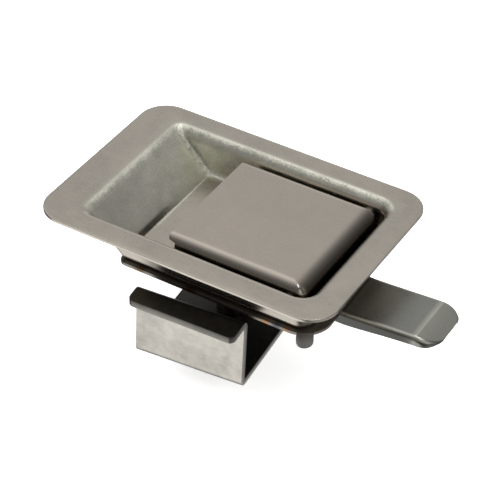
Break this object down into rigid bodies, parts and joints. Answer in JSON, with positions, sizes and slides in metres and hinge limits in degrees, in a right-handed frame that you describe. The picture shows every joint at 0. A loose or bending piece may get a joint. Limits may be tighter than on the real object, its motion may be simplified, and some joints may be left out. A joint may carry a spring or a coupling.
{
  "type": "flush paddle slam latch",
  "caption": "Recessed stainless paddle latch with a sprung slam bolt and a U-shaped rear clamp bracket on a central stud.",
  "frame": {"origin": "middle of the mounting flange, on its underside, which is the face that lies on the door panel", "axes": "+Z out of the door towards the user, +X the way the bolt shoots, +Y along the paddle's hinge line"},
  "size_m": [0.1185, 0.0728, 0.049],
  "materials": {
    "flange_stainless": "satin, pressed sheet",
    "paddle_stainless": "satin, pressed sheet",
    "plate_stainless": "mill finish with heat tint at the spot welds",
    "bracket_stainless": "matt mill finish",
    "bolt_stainless": "matt mill finish",
    "guide_zinc": "zinc plated",
    "thread_zinc": "zinc plated",
    "collar_steel": "dark turned steel",
    "rivet_steel": "plain",
    "pin_steel": "ground",
    "spring_steel": "drawn wire"
  },
  "bodies": {
    "housing": {"pan": "flange_stainless", "back_plate": "plate_stainless", "bolt_guide": "guide_zinc", "guide_rivets": "rivet_steel", "guide_rod": "spring_steel", "bolt_spring": "spring_steel", "hinge_pin": "pin_steel", "pin_clip": "spring_steel", "paddle_spring": "spring_steel", "clamp_stud": "thread_zinc"},
    "paddle_lever": {"paddle": "paddle_stainless", "paddle_arm": "guide_zinc"},
    "bolt": {"latch_bolt": "bolt_stainless"},
    "washers": {"plain_washer": "thread_zinc", "lock_washer": "thread_zinc"},
    "bracket": {"clamp_bracket": "bracket_stainless", "clamp_collar": "collar_steel"},
    "nut": {"clamp_nut": "thread_zinc"}
  },
  "joints": [
    {"name": "paddle_lift", "type": "hinge", "parent": "housing", "child": "paddle_lever", "pos_m": [0.031, 0, -0.0045], "axis": [0, 1, 0], "range_deg": [0, 36], "stiffness_Nm_per_rad": 0.05, "springref_deg": -28.65},
    {"name": "bolt_throw", "type": "slide", "parent": "housing", "child": "bolt", "axis": [-1, 0, 0], "range_m": [0, 0.008], "stiffness_N_per_m": 50, "springref_m": -0.012, "deforming": ["bolt_spring"]},
    {"name": "nut_turn", "type": "hinge", "parent": "washers", "child": "nut", "pos_m": [0.001, 0, -0.0439], "axis": [0, 0, 1], "range_deg": [0, 3241]},
    {"name": "clamp_rise", "type": "slide", "parent": "housing", "child": "washers", "axis": [0, 0, 1], "range_m": [0, 0.009]},
    {"name": "bracket_swivel", "type": "hinge", "parent": "washers", "child": "bracket", "pos_m": [0.001, 0, -0.0387], "axis": [0, 0, 1], "range_deg": [-5, 0]}
  ],
  "couplings": [
    {"joint": "bolt_throw", "follows": "paddle_lift", "m_per_rad": 0.012732},
    {"joint": "nut_turn", "follows": "clamp_rise", "rad_per_m": 6283.2}
  ]
}
